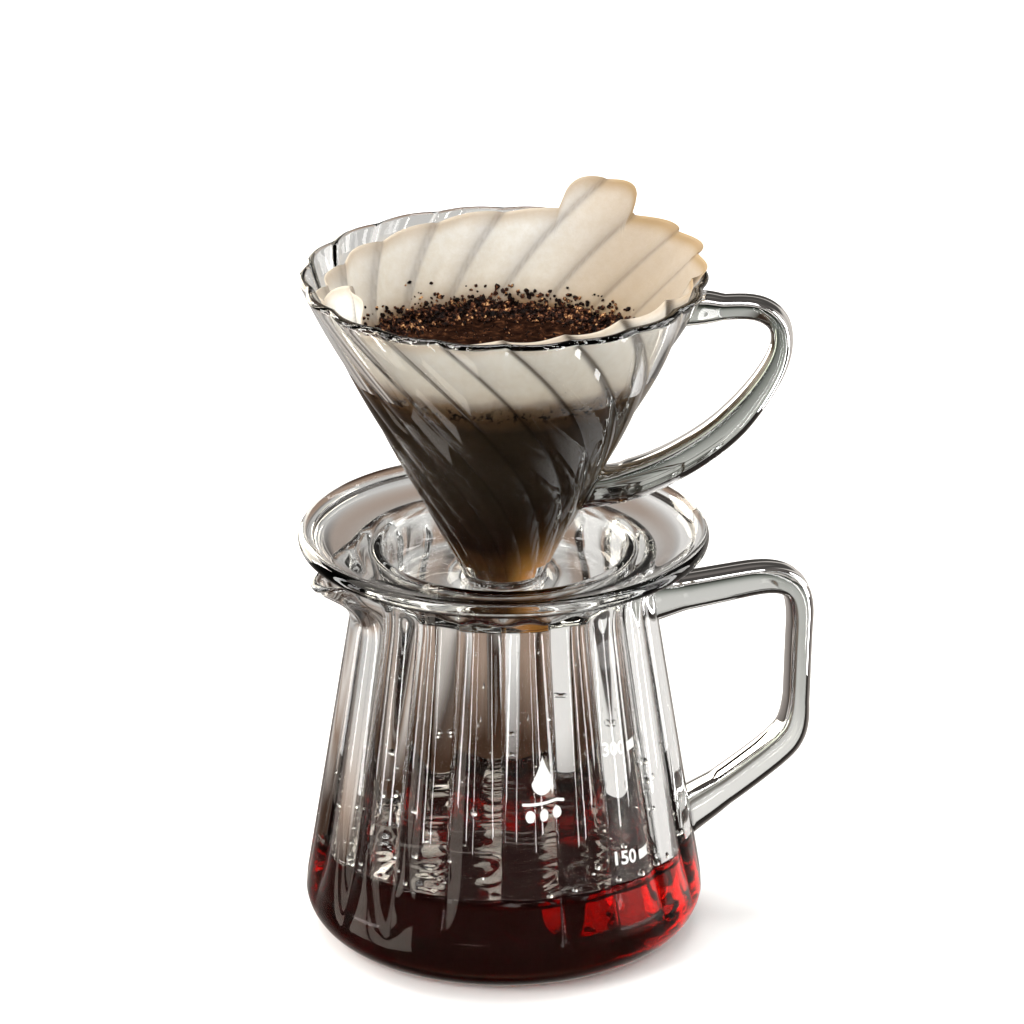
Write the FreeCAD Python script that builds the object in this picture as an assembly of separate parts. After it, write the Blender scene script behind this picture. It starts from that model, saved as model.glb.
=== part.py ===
import FreeCAD, Part
import math
import os

# Glass pour-over set: a fluted server, a spiral-fluted dripper standing in its mouth, a paper
# filter with the brew in it, and the coffee that has run through.
# Frame: millimetres, +Z up, origin at the centre of the server's foot, server handle along +X.

Vector = FreeCAD.Vector
Z_AXIS = Vector(0, 0, 1)
ORIGIN = Vector(0, 0, 0)

# ---- driving dimensions -------------------------------------------------------------------
SERVER_RADIUS = 48.4          # widest outer radius, just above the foot's corner
SERVER_FOOT_RADIUS = 33.0     # of the flat underside
SERVER_CORNER = 11.0          # outer radius of the foot's corner
SERVER_NECK_RADIUS = 36.3     # outer radius at the neck
SERVER_NECK_Z = 87.0
SERVER_RIM_Z = 96.5
SERVER_RIM_RADIUS = 37.0      # outer radius at the mouth
SERVER_WALL = 2.8
SERVER_FLOOR = 4.2            # thickness of the bottom
SERVER_FLUTES = 20
SERVER_FLUTE_PHASE = 4.0      # degrees from +X to the first crease
SERVER_FLUTE_DEPTH = 2.0      # how far an outer crease lies inside the lobes
SERVER_FLUTE_LOW = (6.0, 27.0)     # heights between which the flutes grow from nothing
SERVER_FLUTE_HIGH = (91.0, 95.5)   # heights between which they fade out again
INNER_FLUTE_SHARE = 0.25      # depth of the inner creases, as a share of the outer ones
SPOUT_REACH = 10.6            # how far the lip's tip stands out beyond the round mouth
SPOUT_DROP = 3.6              # how far the tip lies below the rim
SPOUT_START_Z = 79.0
SPOUT_SPREAD = 0.25           # radians, half width of the lip's swell
COFFEE_LEVEL = 23.5
SERVER_SLOPE = (SERVER_RADIUS - SERVER_NECK_RADIUS) / (SERVER_NECK_Z - SERVER_CORNER)

DRIPPER_RIM_Z = 167.5
DRIPPER_RADIUS = 49.4         # outer radius at the rim, across the lobes
DRIPPER_SLOPE = 0.524         # radius lost per millimetre of depth
DRIPPER_WALL = 2.0
DRIPPER_LEVEL_WALL = DRIPPER_WALL * math.hypot(1, DRIPPER_SLOPE)   # measured level, on the cone
DRIPPER_NECK_Z = 98.0         # below this the cone curves into the outlet
OUTLET_Z = 84.0
OUTLET_RADIUS = 8.6
DRIPPER_FLUTES = 18
DRIPPER_FLUTE_PHASE = 16.0    # degrees from +X to the first crease at the rim
DRIPPER_FLUTE_DEPTH = 1.25    # at the rim, less further down
TWIST_PER_MM = 1.15           # degrees that the flutes turn per millimetre of depth
DRIPPER_HANDLE_ANGLE = -21.0  # degrees from the server's handle

FLANGE_RADIUS = 49.4
FLANGE_BEAD = 1.9             # radius of the rounded edge
FLANGE_WALL = 2.2
FLANGE_SEAT_GAP = 0.25        # clearance above the server's rim
WELL_RADIUS = 31.0            # outer radius of the well that centres in the mouth
WELL_DEPTH = 9.5

PAPER_GAP = 0.3               # from the inner creases of the glass to the paper
PAPER_THICKNESS = 0.4
PAPER_TIP_Z = 88.6
PAPER_EDGE_MEAN = -0.3        # mean height of the paper's edge above the glass rim
PAPER_EDGE_TILT = 3.9         # rise of the edge towards PAPER_EDGE_ANGLE
PAPER_EDGE_ANGLE = -14.0
TAB_WIDTH = 18.0
TAB_TOPS = {47.0: 8.2, 196.0: 3.9}   # direction of each tab: its height above the glass rim
BREW_LEVEL = 147.7
BED_LEVEL = 118.0             # top of the settled grounds under the brew
CRUST_HEIGHT = 4.0
CRUST_THICKNESS = 2.2
FIT = 0.05                    # gap between a liquid and what holds it

MARK_THICKNESS = 0.14
SCALE_ANGLE = -57.0           # direction of the volume scale
SCALE_HEIGHTS = {"150": 31.0, "300": 58.0}
FRONT_MARK_ANGLE = -91.0
FRONT_MARK_Z = 48.5

HANDLE_RIDGE = 0.06           # height of a handle's ridges, as a share of half its thickness
HANDLE_SQUARENESS = 0.72      # 1 gives an elliptic section, less gives a squarer one
HANDLE_SECTIONS = 40
SECTION_POINTS = 28
PATCH_PIECES = 8              # short patches keep the solid's volume exact


# ---- geometry helpers ---------------------------------------------------------------------
def lobe(share):
    """0 at a crease and 1 at the top of a lobe, for a share of the way across a flute."""
    return math.sin(math.pi * share)


def smooth(value, low, high):
    """0 below low, 1 above high, an S curve between."""
    t = min(1.0, max(0.0, (value - low) / (high - low)))
    return t * t * (3 - 2 * t)


def arc_points(r, z, radius, start, stop, count):
    """Points (r, z) along an arc about (r, z), from start to stop degrees."""
    angles = [math.radians(start + (stop - start) * i / (count - 1)) for i in range(count)]
    return [(r + radius * math.cos(a), z + radius * math.sin(a)) for a in angles]


def line_points(start, end, count):
    """count points strictly between two (r, z) points."""
    shares = [i / (count + 1) for i in range(1, count + 1)]
    return [(start[0] + (end[0] - start[0]) * s, start[1] + (end[1] - start[1]) * s) for s in shares]


def flute_poles(point_at):
    """Five Bezier poles of one flute's cross line; point_at gives its point for a share 0 to 1.
    The curve meets the line's ends, middle and end slopes."""
    step = 1e-4
    start, middle, end = point_at(0.0), point_at(0.5), point_at(1.0)
    near = start + (point_at(step) - start) * (0.25 / step)
    far = end + (point_at(1 - step) - end) * (0.25 / step)
    centre = (middle * 16 - start - end - (near + far) * 4) * (1 / 6)
    return [start, near, centre, far, end]


def fluted_solid(stations, flutes, point_at):
    """Solid inside a fluted skin: one smooth patch for each flute, meeting in sharp creases.
    point_at(station, flute, share) gives the skin's points. Flat faces close the two ends."""
    inner_knots = len(stations) - 3
    knots = [i / inner_knots for i in range(inner_knots + 1)]
    mults = [4] + [1] * (inner_knots - 1) + [4]
    cuts = [knots[round(i * inner_knots / PATCH_PIECES)] for i in range(PATCH_PIECES + 1)]
    faces = []
    ends = ([], [])
    for flute in range(flutes):
        rows = [flute_poles(lambda share: point_at(station, flute, share)) for station in stations]
        patch = Part.BSplineSurface()
        patch.buildFromPolesMultsKnots(rows, mults, [5, 5], knots, [0.0, 1.0], False, False, 3, 4)
        for low, high in zip(cuts, cuts[1:]):
            piece = patch.copy()
            piece.segment(low, high, 0.0, 1.0)
            faces.append(piece.toShape())
        for edges, row in zip(ends, (rows[0], rows[-1])):
            curve = Part.BezierCurve()
            curve.setPoles(row)
            edges.append(curve.toShape())
    wires = [Part.Wire(edges) for edges in ends]
    if abs(wires[0].BoundBox.ZMin - wires[1].BoundBox.ZMin) < 1e-6:
        faces.append(Part.makeFace(wires, "Part::FaceMakerBullseye"))
    else:
        faces += [Part.Face(wire) for wire in wires]
    shell = Part.Compound(faces)
    shell.sewShape()
    solid = Part.makeSolid(shell.Shells[0])
    if solid.Volume < 0:
        solid.reverse()
    return solid


def largest(shape):
    """The biggest solid of a shape."""
    return max(shape.Solids, key=lambda solid: solid.Volume)


def rounded_wire(corners):
    """Closed wire in the XZ plane through (x, z, radius) corners, each rounded to its radius."""
    count = len(corners)
    bends = []
    for i, (x, z, radius) in enumerate(corners):
        here = Vector(x, 0, z)
        if radius == 0:
            bends.append((here, here, None))
            continue
        before = Vector(corners[i - 1][0], 0, corners[i - 1][1]) - here
        after = Vector(corners[(i + 1) % count][0], 0, corners[(i + 1) % count][1]) - here
        before.normalize()
        after.normalize()
        half = before.getAngle(after) / 2
        reach = radius / math.tan(half)
        bisector = (before + after).normalize()
        middle = here + bisector * (radius / math.sin(half) - radius)
        bends.append((here + before * reach, here + after * reach, middle))
    edges = []
    for i, (enter, leave, middle) in enumerate(bends):
        if middle is not None:
            edges.append(Part.Arc(enter, middle, leave).toShape())
        following = bends[(i + 1) % count][0]
        if (following - leave).Length > 1e-6:
            edges.append(Part.LineSegment(leave, following).toShape())
    return Part.Wire(edges)


def turned(corners):
    """Solid of revolution about Z of a closed rounded outline."""
    return Part.Face(rounded_wire(corners)).revolve(ORIGIN, Z_AXIS, 360)


def section_outline(thickness, width):
    """(out, along) outline of a pressed glass bar: flat inner face, three soft ridges outside."""
    outline = []
    for i in range(SECTION_POINTS):
        turn = 2 * math.pi * i / SECTION_POINTS
        across = math.copysign(abs(math.cos(turn)) ** HANDLE_SQUARENESS, math.cos(turn))
        along = math.copysign(abs(math.sin(turn)) ** HANDLE_SQUARENESS, math.sin(turn))
        if across > 0:
            across += HANDLE_RIDGE * math.cos(3 * math.pi * along)
        outline.append((across * thickness / 2, along * width / 2))
    return outline


def between(sizes, share):
    """Thickness and width at a share of a handle's length."""
    for (s0, t0, w0), (s1, t1, w1) in zip(sizes, sizes[1:]):
        if share <= s1:
            mix = (share - s0) / (s1 - s0)
            return t0 + (t1 - t0) * mix, w0 + (w1 - w0) * mix
    return sizes[-1][1:]


def strap(controls, sizes, wall_lean):
    """Handle along a smooth path of (r, z) controls in the XZ plane. sizes are (share, thickness,
    width). Its ends turn to lie along the wall, which leans wall_lean out for each unit up."""
    spans = len(controls) - 3
    path = Part.BSplineCurve()
    poles = [Vector(r, 0, z) for r, z in controls]
    mults = [4] + [1] * (spans - 1) + [4]
    path.buildFromPolesMultsKnots(poles, mults, list(range(spans + 1)), False, 3)
    steps = HANDLE_SECTIONS * 4
    points = path.toShape().discretize(Number=steps + 1)
    wall = Vector(wall_lean, 0, 1).normalize()
    sections = []
    for k in range(0, steps + 1, 4):
        share = k / steps
        tangent = points[min(k + 1, steps)] - points[max(k - 1, 0)]
        normal = Vector(0, 1, 0).cross(tangent).normalize() * -1
        at_wall = 1 - smooth(share, 0.0, 0.1) + smooth(share, 0.86, 1.0)
        wall_way = wall if normal.dot(wall) > 0 else wall * -1
        normal = (normal * (1 - at_wall) + wall_way * at_wall).normalize()
        thickness, width = between(sizes, share)
        outline = section_outline(thickness, width)
        ring = [points[k] + normal * out + Vector(0, along, 0) for out, along in outline]
        curve = Part.BSplineCurve()
        curve.interpolate(Points=ring, PeriodicFlag=True)
        sections.append(Part.Wire([curve.toShape()]))
    return Part.makeLoft(sections, True)


# ---- server -------------------------------------------------------------------------------
def server_point(station, flute, share):
    """Point of the server's skin, fluted by the station's depth and swelling into the lip."""
    r, z, depth = station
    angle = math.radians(SERVER_FLUTE_PHASE + 360 * (flute + share) / SERVER_FLUTES)
    away = math.remainder(angle - math.pi, 2 * math.pi)
    lip = math.exp(-((away / SPOUT_SPREAD) ** 2)) * smooth(z, SPOUT_START_Z, SERVER_RIM_Z) ** 1.3
    radius = r - depth * (1 - lobe(share)) + SPOUT_REACH * lip
    return Vector(radius * math.cos(angle), radius * math.sin(angle), z - SPOUT_DROP * lip)


def server_profile():
    """(r, z) stations of the server's skin: outer wall from the foot up, rim, inner wall down."""
    corner_r = SERVER_RADIUS - SERVER_CORNER
    shoulder = (SERVER_RADIUS, SERVER_CORNER)
    neck = (SERVER_NECK_RADIUS, SERVER_NECK_Z)
    outer = [(SERVER_FOOT_RADIUS, 0.0), (SERVER_FOOT_RADIUS + 2.5, 0.0)]
    outer += arc_points(corner_r, SERVER_CORNER, SERVER_CORNER, -90, 0, 9)
    outer += line_points(shoulder, neck, 11) + [neck]
    outer += [(SERVER_NECK_RADIUS + 0.1, SERVER_NECK_Z + 4), (SERVER_RIM_RADIUS - 0.2, SERVER_RIM_Z - 3)]

    half = SERVER_WALL / 2
    rim = arc_points(SERVER_RIM_RADIUS - half, SERVER_RIM_Z - half, half, 0, 180, 9)

    inner_corner = SERVER_CORNER - SERVER_WALL
    inner_neck = (SERVER_NECK_RADIUS - SERVER_WALL, SERVER_NECK_Z)
    inner_shoulder = (SERVER_RADIUS - SERVER_WALL, SERVER_FLOOR + inner_corner)
    inner = [(r - SERVER_WALL, z) for r, z in reversed(outer[-2:])] + [inner_neck]
    inner += line_points(inner_neck, inner_shoulder, 11)
    inner += arc_points(corner_r, inner_shoulder[1], inner_corner, 0, -90, 9)
    inner.append((SERVER_FOOT_RADIUS, SERVER_FLOOR))
    return outer, rim, inner


def server_depth(z, full):
    """Depth of a crease at a height: full between the feet and the heads of the flutes."""
    return full * smooth(z, *SERVER_FLUTE_LOW) * (1 - smooth(z, *SERVER_FLUTE_HIGH))


def server_body():
    outer, rim, inner = server_profile()
    inner_depth = SERVER_FLUTE_DEPTH * INNER_FLUTE_SHARE
    stations = [(r, z, server_depth(z, SERVER_FLUTE_DEPTH)) for r, z in outer]
    stations += [(r, z, 0) for r, z in rim]
    stations += [(r, z, server_depth(z - SERVER_FLOOR, inner_depth)) for r, z in inner]
    return fluted_solid(stations, SERVER_FLUTES, server_point)


def server_handle():
    controls = [
        (35.4, 81.0), (40, 81.3), (50, 82.2), (59, 83.2), (66.4, 83.8), (72.6, 81.8),
        (74.4, 75.4), (74, 68), (73.8, 60), (73.6, 52), (73.3, 45),
        (71.2, 40.4), (65, 35.8), (58, 31.0), (51, 26.6), (45.2, 23.4),
    ]
    sizes = [
        (0.0, 10.8, 13.5), (0.03, 9.8, 12.8), (0.08, 8.0, 11.4), (0.2, 7.4, 11.0),
        (0.34, 6.6, 10.4), (0.44, 5.6, 9.8), (0.62, 5.6, 9.8), (0.72, 7.2, 10.8),
        (0.9, 7.6, 11.0), (0.97, 9.4, 12.4), (1.0, 10.2, 13.2),
    ]
    return largest(strap(controls, sizes, -SERVER_SLOPE).cut(server_body()))


def brewed_coffee():
    """The coffee in the server, just inside the creases of its inner wall."""
    corner = SERVER_CORNER - SERVER_WALL
    widest = SERVER_RADIUS - SERVER_WALL - SERVER_FLUTE_DEPTH * INNER_FLUTE_SHARE - FIT
    low = SERVER_FLOOR + FIT
    level_radius = widest - SERVER_SLOPE * (COFFEE_LEVEL - low - corner)
    return turned([
        (0, low, 0),
        (widest - 0.4, low, corner),
        (level_radius, COFFEE_LEVEL, 0),
        (0, COFFEE_LEVEL, 0),
    ])


# ---- dripper ------------------------------------------------------------------------------
def dripper_radius(z):
    """Outer radius of the cone across the lobes, curving into the outlet below the neck."""
    if z >= DRIPPER_NECK_Z:
        return DRIPPER_RADIUS - DRIPPER_SLOPE * (DRIPPER_RIM_Z - z)
    neck = DRIPPER_RADIUS - DRIPPER_SLOPE * (DRIPPER_RIM_Z - DRIPPER_NECK_Z)
    run = DRIPPER_NECK_Z - OUTLET_Z
    t = (z - OUTLET_Z) / run
    rise = (2 * t ** 3 - 3 * t ** 2 + 1) * OUTLET_RADIUS + (3 * t ** 2 - 2 * t ** 3) * neck
    return rise + (t ** 3 - t ** 2) * run * DRIPPER_SLOPE


def dripper_depth(z):
    """Depth of the outer creases at a height: full at the rim, none at the outlet."""
    share = (z - OUTLET_Z) / (DRIPPER_RIM_Z - OUTLET_Z)
    return DRIPPER_FLUTE_DEPTH * (0.25 + 0.75 * share) * smooth(z, OUTLET_Z + 6, OUTLET_Z + 20)


def dripper_point(station, flute, share):
    """Point of the cone's skin; the flutes turn with depth below the rim."""
    r, z, depth = station
    turn = DRIPPER_FLUTE_PHASE + TWIST_PER_MM * (DRIPPER_RIM_Z - z)
    angle = math.radians(turn + 360 * (flute + share) / DRIPPER_FLUTES)
    radius = r - depth * (1 - lobe(share))
    return Vector(radius * math.cos(angle), radius * math.sin(angle), z)


def dripper_cone():
    half = DRIPPER_WALL / 2
    lean = math.degrees(math.atan(DRIPPER_SLOPE))
    run = DRIPPER_NECK_Z - OUTLET_Z
    outlet_heights = [OUTLET_Z + run * i / 7 for i in range(8)]
    cone_heights = [DRIPPER_RIM_Z - 3.0 - 4.9 * i for i in range(13)]
    heights = outlet_heights + cone_heights[::-1]
    stations = [(dripper_radius(z), z, dripper_depth(z)) for z in heights]
    rim_z = DRIPPER_RIM_Z - half
    rim_r = dripper_radius(rim_z) - half * math.hypot(1, DRIPPER_SLOPE)
    rim = arc_points(rim_r, rim_z, half, -lean, 180 - lean, 9)
    stations += [(r, z, dripper_depth(DRIPPER_RIM_Z)) for r, z in rim]
    for z in reversed(heights):
        upright = max(0.0, (DRIPPER_NECK_Z - z) / run)    # 1 at the outlet, where the wall is upright
        level_wall = DRIPPER_LEVEL_WALL + (DRIPPER_WALL - DRIPPER_LEVEL_WALL) * upright
        stations.append((dripper_radius(z) - level_wall, z, dripper_depth(z)))
    return fluted_solid(stations, DRIPPER_FLUTES, dripper_point)


def dripper_flange():
    seat = SERVER_RIM_Z + FLANGE_SEAT_GAP
    bead_r = FLANGE_RADIUS - FLANGE_BEAD
    bead_z = seat + 4.1
    floor = seat - WELL_DEPTH
    wall = FLANGE_WALL
    inner = OUTLET_RADIUS - 0.6
    plate = turned([
        (inner, floor + 1.2, 0),
        (WELL_RADIUS - 1.6, floor, 2.6),
        (WELL_RADIUS, seat, 0.8),
        (38.5, seat, 14.0),
        (bead_r, bead_z - wall / 2, 0),
        (bead_r, bead_z + wall / 2, 0),
        (37.5, seat + wall, 14.0),
        (WELL_RADIUS - wall, seat + wall, 2.4),
        (WELL_RADIUS - wall - 1.6, floor + wall, 1.8),
        (inner, floor + wall + 1.4, 0),
    ])
    bead = Part.makeTorus(bead_r, FLANGE_BEAD, Vector(0, 0, bead_z), Z_AXIS)
    return largest(plate.fuse(bead).removeSplitter().cut(dripper_cone()))


def dripper_handle():
    controls = [
        (44.6, 160.9), (50, 161.3), (55, 161.9), (61, 162.2), (66, 159.2), (66.8, 153.3),
        (64.8, 147), (60.3, 139.5), (54, 131.5), (46, 125), (38, 120), (30, 116.4),
        (24.5, 114.9), (21.0, 114.4),
    ]
    sizes = [
        (0.0, 8.5, 12.0), (0.03, 7.4, 11.0), (0.09, 4.9, 9.4), (0.24, 4.5, 9.0), (0.38, 6.2, 9.2),
        (0.55, 7.8, 9.8), (0.75, 8.4, 10.2), (0.93, 9.0, 11.0), (1.0, 11.0, 13.0),
    ]
    handle = strap(controls, sizes, DRIPPER_SLOPE)
    handle.rotate(ORIGIN, Z_AXIS, DRIPPER_HANDLE_ANGLE)
    return largest(handle.cut(dripper_cone()))


# ---- paper and brew -----------------------------------------------------------------------
def paper_radius(z):
    """Outer radius of the paper cone at a height."""
    at_rim = DRIPPER_RADIUS - DRIPPER_LEVEL_WALL - DRIPPER_FLUTE_DEPTH - PAPER_GAP
    return at_rim - DRIPPER_SLOPE * (DRIPPER_RIM_Z - z)


def paper_cone(top, inset):
    """Solid cone inside the paper's surface moved in by inset, with its tip rounded."""
    tip = PAPER_TIP_Z + inset
    tip_radius = paper_radius(PAPER_TIP_Z) + 1.0 - inset
    return turned([(0, tip, 0), (tip_radius, tip, 1.6), (paper_radius(top) - inset, top, 0), (0, top, 0)])


def paper_filter():
    """The paper cone, cut to its tilted edge and the two tabs that stand above it."""
    top = DRIPPER_RIM_Z + max(TAB_TOPS.values())
    sheet = paper_cone(top, 0).cut(paper_cone(top + 1, PAPER_THICKNESS))
    edge_z = DRIPPER_RIM_Z + PAPER_EDGE_MEAN
    keep = Part.makeCylinder(2 * DRIPPER_RADIUS, DRIPPER_RIM_Z, Vector(0, 0, edge_z - DRIPPER_RIM_Z))
    lean = math.degrees(math.atan(PAPER_EDGE_TILT / paper_radius(DRIPPER_RIM_Z)))
    turn = math.radians(PAPER_EDGE_ANGLE)
    keep.rotate(Vector(0, 0, edge_z), Vector(math.sin(turn), -math.cos(turn), 0), lean)
    for direction, height in TAB_TOPS.items():
        top_z = DRIPPER_RIM_Z + height
        half = TAB_WIDTH / 2
        outline = [
            (-half - 3, edge_z - 8, 0),
            (half + 3, edge_z - 8, 0),
            (half, top_z, 5.0),
            (-half, top_z, 5.0),
        ]
        tab = Part.Face(rounded_wire(outline)).extrude(Vector(0, 1.4 * DRIPPER_RADIUS, 0))
        tab.rotate(ORIGIN, Z_AXIS, direction - 90)
        keep = keep.fuse(tab)
    return sheet.common(keep)


def coffee_bed():
    """Settled grounds in the tip of the paper."""
    return paper_cone(BED_LEVEL, PAPER_THICKNESS + FIT)


def coffee_slurry():
    """Water and coffee between the settled grounds and the level of the brew."""
    below = Part.makeCylinder(DRIPPER_RADIUS, BED_LEVEL + FIT)
    return paper_cone(BREW_LEVEL, PAPER_THICKNESS + FIT).cut(below)


def grounds_crust():
    """Ring of wet grounds left on the paper above the brew."""
    low = BREW_LEVEL + FIT
    top = low + CRUST_HEIGHT
    inset = PAPER_THICKNESS + FIT
    return turned([
        (paper_radius(low) - inset - CRUST_THICKNESS, low, 0),
        (paper_radius(low) - inset, low, 0),
        (paper_radius(top) - inset, top, 0),
        (paper_radius(top) - inset - 0.4, top, 0),
    ])


# ---- printed marks ------------------------------------------------------------------------
def server_radius(z):
    """Outer radius of the server's wall across the lobes."""
    return SERVER_RADIUS - SERVER_SLOPE * (z - SERVER_CORNER)


def printed_bar(direction, z, width, height):
    """Thin enamel bar on the server's wall, centred on a direction and a height."""
    low = z - height / 2
    high = z + height / 2
    foot = server_radius(low) + FIT
    head = server_radius(high) + FIT
    outline = [
        (foot, low, 0),
        (foot + MARK_THICKNESS, low, 0),
        (head + MARK_THICKNESS, high, 0),
        (head, high, 0),
    ]
    span = math.degrees(width / server_radius(z))
    bar = Part.Face(rounded_wire(outline)).revolve(ORIGIN, Z_AXIS, span)
    bar.rotate(ORIGIN, Z_AXIS, direction - span / 2)
    return bar


def volume_scale():
    """One bar for each volume line; the figures beside them are printed as part of the finish."""
    return Part.makeCompound([printed_bar(SCALE_ANGLE, z, 5.0, 1.3) for z in SCALE_HEIGHTS.values()])


def front_mark():
    return printed_bar(FRONT_MARK_ANGLE, FRONT_MARK_Z, 10.0, 0.9)


PARTS = {
    "server_body": server_body,
    "server_handle": server_handle,
    "brewed_coffee": brewed_coffee,
    "volume_scale": volume_scale,
    "front_mark": front_mark,
    "dripper_cone": dripper_cone,
    "dripper_flange": dripper_flange,
    "dripper_handle": dripper_handle,
    "paper_filter": paper_filter,
    "coffee_bed": coffee_bed,
    "coffee_slurry": coffee_slurry,
    "grounds_crust": grounds_crust,
}

os.makedirs("parts", exist_ok=True)
for name, make in PARTS.items():
    shape = make()
    if not shape.isValid():
        print(name, "is not valid")
    shape.exportStep(os.path.join("parts", name + ".step"))
    print(name, "solids", len(shape.Solids), "volume %.0f" % shape.Volume, "box", shape.BoundBox)
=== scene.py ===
"""Looks of the pour-over set: glass server and dripper, paper filter, brew, coffee and print."""
import itertools
import math

import bpy
import numpy as np
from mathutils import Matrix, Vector, noise


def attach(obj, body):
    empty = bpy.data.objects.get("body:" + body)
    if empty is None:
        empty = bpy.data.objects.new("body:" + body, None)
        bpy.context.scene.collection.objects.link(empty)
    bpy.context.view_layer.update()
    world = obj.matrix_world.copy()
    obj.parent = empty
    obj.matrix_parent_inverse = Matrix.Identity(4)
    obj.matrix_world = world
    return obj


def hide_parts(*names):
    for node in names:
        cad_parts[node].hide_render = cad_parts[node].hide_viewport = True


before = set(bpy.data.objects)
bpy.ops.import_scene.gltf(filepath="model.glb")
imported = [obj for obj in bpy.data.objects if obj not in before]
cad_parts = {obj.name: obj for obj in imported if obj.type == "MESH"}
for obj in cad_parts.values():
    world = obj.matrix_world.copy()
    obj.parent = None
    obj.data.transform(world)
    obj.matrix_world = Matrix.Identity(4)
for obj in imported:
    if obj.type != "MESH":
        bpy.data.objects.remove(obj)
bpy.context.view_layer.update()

MM = 0.001
FULL_TURN = 2 * math.pi
SQUARE = ((-1, -1), (1, -1), (1, 1), (-1, 1))

# ---- sizes in millimetres and degrees, as in the CAD -
SERVER_RADIUS = 48.4
SERVER_CORNER = 11.0
SERVER_NECK_RADIUS = 36.3
SERVER_NECK_Z = 87.0
SERVER_LEAN = (SERVER_NECK_RADIUS - SERVER_RADIUS) / (SERVER_NECK_Z - SERVER_CORNER)
SERVER_RIM_Z = 96.5
SERVER_RIM_RADIUS = 37.0
SERVER_WALL = 2.8
SERVER_FLOOR = 4.2
SERVER_FLUTES = 20
SERVER_FLUTE_PHASE = 4.0
SERVER_FLUTE_DEPTH = 2.0
INNER_FLUTE_SHARE = 0.25
SPOUT_REACH = 10.6
SPOUT_DROP = 3.6
SPOUT_START_Z = 79.0
SPOUT_SPREAD = 0.25  # radians
COFFEE_LEVEL = 23.5

DRIPPER_RIM_Z = 167.5
DRIPPER_RADIUS = 49.4
DRIPPER_SLOPE = 0.524
DRIPPER_WALL = 2.0
DRIPPER_ACROSS = DRIPPER_WALL * math.hypot(1, DRIPPER_SLOPE)  # the wall measured level
DRIPPER_NECK_Z = 98.0
OUTLET_Z = 84.0
OUTLET_RADIUS = 8.6
DRIPPER_FLUTES = 18
DRIPPER_FLUTE_PHASE = 16.0
DRIPPER_FLUTE_DEPTH = 1.25
TWIST_PER_MM = 1.15
DRIPPER_HANDLE_ANGLE = -21.0

FLANGE_RADIUS = 49.4
FLANGE_SEAT_Z = 96.75
WELL_RADIUS = 31.0
WELL_DEPTH = 9.5

PAPER_TIP_Z = 88.8
PAPER_THICKNESS = 0.3
PAPER_EDGE_MEAN = -0.3
PAPER_EDGE_TILT = 3.9
PAPER_EDGE_ANGLE = -14.0
BED_LEVEL = 118.0
BREW_LEVEL = 145.2  # the free surface; the crust stands a few millimetres above it

# ---- sizes that only the looks have ------------------
HANDLE_RIDGE = 0.06  # share of a handle's half thickness
SUNK = 0.25  # how far the coffee is let into the glass
FRONT_TAB, BACK_TAB = (47.0, 7.0), (196.0, 7.6)  # direction and height
TAB_HALF_WIDTH = 9.5
TAB_CURL = 6.5  # how far the back tab's side of the edge curls in
PAPER_BROWN_ANGLE = 5.0  # the tan side of the paper; the other side has painted light through it
PAPER_BACKLIT_SPOT_ANGLE = -38.0  # the bright tan spot near the tip, painted light shining through
PRINT_LIFT = 0.1  # how far the print's sheets stand off the glass
VIEW_AZIMUTH = -14.0  # degrees, where the camera stands

random = np.random.default_rng(7)


# ---- mesh helpers ------------------------------------
def spline(controls, count):
    """count points along the clamped cubic B-spline of some control points. Its basis functions
    are built up from steps, one degree at a time."""
    controls = np.asarray(controls, float)
    spans = len(controls) - 3
    knots = np.concatenate([[0.0] * 3, np.arange(spans + 1.0), [float(spans)] * 3])
    t = np.minimum(np.linspace(0, spans, count), spans - 1e-9)
    basis = [((low <= t) & (t < high)).astype(float) for low, high in zip(knots, knots[1:])]
    for degree in (1, 2, 3):
        gaps = np.maximum(knots[degree:] - knots[:-degree], 1e-9)
        up = [(t - knot) / gap for knot, gap in zip(knots, gaps)]
        basis = [up[i] * basis[i] + (1 - up[i + 1]) * basis[i + 1] for i in range(len(basis) - 1)]
    return np.array(basis).T @ controls


def smooth(value, low, high):
    """0 below low, 1 above high, an S curve between."""
    t = np.clip((value - low) / (high - low), 0, 1)
    return t * t * (3 - 2 * t)


def arc_points(r, z, radius, start, stop, count):
    """Points (r, z) along an arc about (r, z), from start to stop degrees."""
    angles = np.radians(np.linspace(start, stop, count))
    return [(r + radius * math.cos(a), z + radius * math.sin(a)) for a in angles]


def line_points(start, end, count):
    """count points strictly between two (r, z) points."""
    return np.linspace(start, end, count + 2)[1:-1].tolist()


def mesh_object(name, points, faces, material, is_smooth=True):
    """New mesh object from points in millimetres."""
    mesh = bpy.data.meshes.new(name)
    mesh.from_pydata((np.asarray(points) * MM).tolist(), [], faces)
    mesh.update()
    if is_smooth:
        mesh.shade_smooth()
    mesh.materials.append(material)
    obj = bpy.data.objects.new(name, mesh)
    bpy.context.scene.collection.objects.link(obj)
    return obj


def skin(name, rings, material, loop=False):
    """Mesh through closed rings of points. A ring of one point closes an end with triangles, and
    loop joins the last ring back to the first."""
    points = np.concatenate(rings)
    starts = np.cumsum([0] + [len(ring) for ring in rings])
    faces = []
    for low in range(len(rings) if loop else len(rings) - 1):
        high = (low + 1) % len(rings)
        count = max(len(rings[low]), len(rings[high]))
        here = np.arange(count)
        there = (here + 1) % count
        a, b = (starts[low] + step % len(rings[low]) for step in (here, there))
        d, c = (starts[high] + step % len(rings[high]) for step in (here, there))
        corners = [a, b, c, d]
        if len(rings[low]) == 1:
            corners = [a, c, d]
        elif len(rings[high]) == 1:
            corners = [a, b, c]
        faces += np.stack(corners, 1).tolist()
    return mesh_object(name, points, faces, material)


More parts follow.
